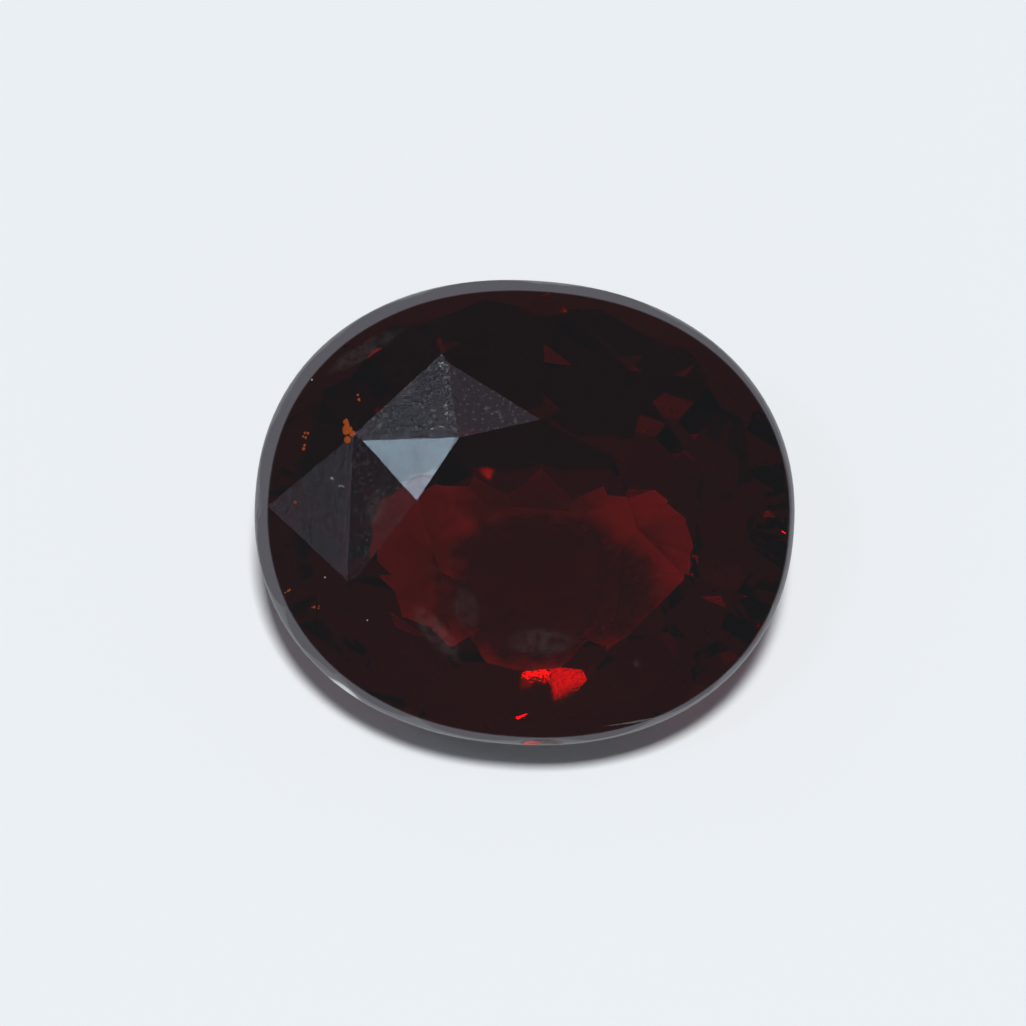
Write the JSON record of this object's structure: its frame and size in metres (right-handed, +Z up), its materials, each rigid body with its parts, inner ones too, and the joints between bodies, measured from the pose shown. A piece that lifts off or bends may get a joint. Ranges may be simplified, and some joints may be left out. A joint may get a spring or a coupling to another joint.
{
  "type": "cut oval garnet",
  "caption": "Loose oval garnet, dark red and see-through, with a faceted crown, a rounded girdle and a shallow stepped pavilion, lying on a facet beside its culet.",
  "frame": {"origin": "middle of the stone's box in plan, on the ground under it, which is a point of the facet that it lies on", "axes": "+X along the oval's long axis, +Z up, -Y towards the side that the stone's table leans to, so the table faces up and 20 degrees towards -Y"},
  "size_m": [0.0086, 0.007, 0.0044],
  "materials": {
    "garnet": "polished clear dark red crystal with fine scratches, ground girdle"
  },
  "bodies": {
    "root": {"garnet": "garnet"}
  },
  "joints": []
}
